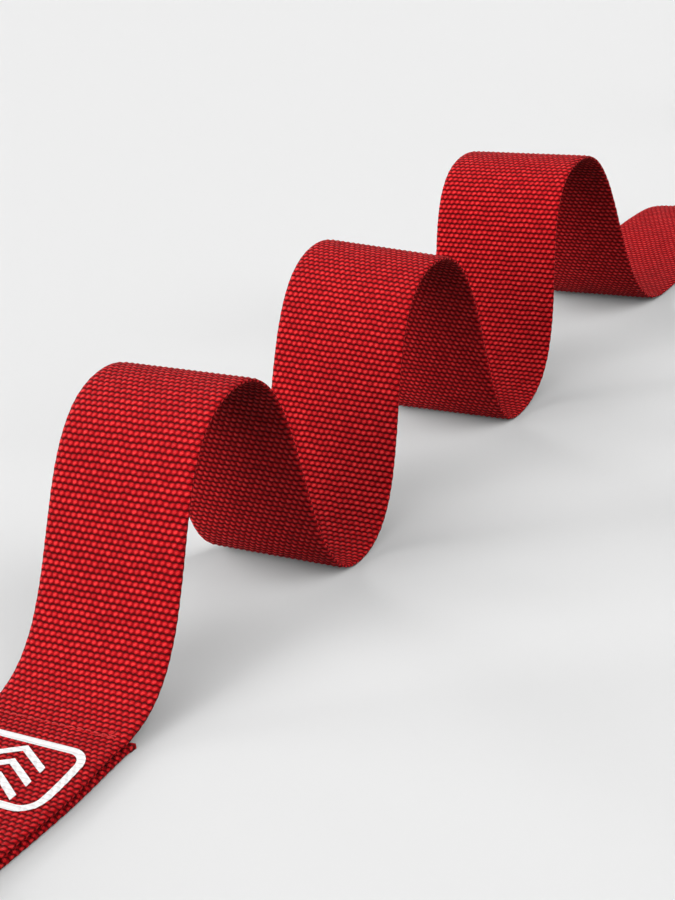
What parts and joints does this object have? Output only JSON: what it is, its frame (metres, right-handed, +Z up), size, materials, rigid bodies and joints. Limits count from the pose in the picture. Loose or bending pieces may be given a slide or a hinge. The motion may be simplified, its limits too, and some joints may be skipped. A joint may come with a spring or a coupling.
{
  "type": "gait belt",
  "caption": "Gait belt of flat woven webbing lying in waves, its doubled end sewn round the bar of a toothed cam buckle, with a metal tip on the free end.",
  "frame": {"origin": "on the rest surface under the row of stitches across the doubled end, in the middle of the webbing's width", "axes": "+Z up, +X along the belt to its free end, +Y to the left of that; the buckle lies on the -X side"},
  "size_m": [1.119, 0.0781, 0.08],
  "materials": {
    "webbing": "red plain-woven cotton webbing",
    "thread": "lighter red sewing thread",
    "print": "matt white screen-print ink",
    "nickel": "satin nickel plate",
    "steel": "plated steel rod",
    "spring": "spring wire"
  },
  "bodies": {
    "belt": {"belt_webbing": "webbing", "end_seam": "thread", "loop_seam": "thread", "printed_mark": "print", "belt_tip": "nickel"},
    "buckle": {"buckle_frame": "nickel", "anchor_bar": "steel", "cam_pin": "steel"},
    "cam": {"cam_lever": "nickel", "cam_spring_left": "spring", "cam_spring_right": "spring"}
  },
  "joints": [
    {"name": "buckle_swing", "type": "hinge", "parent": "belt", "child": "buckle", "pos_m": [-0.09, 0, 0.0039], "axis": [0, 1, 0], "range_deg": [0, 140]},
    {"name": "cam_press", "type": "hinge", "parent": "buckle", "child": "cam", "pos_m": [-0.113, 0, 0.011], "axis": [0, -1, 0], "range_deg": [0, 35], "stiffness_Nm_per_rad": 0.15, "springref_deg": -20.05}
  ]
}
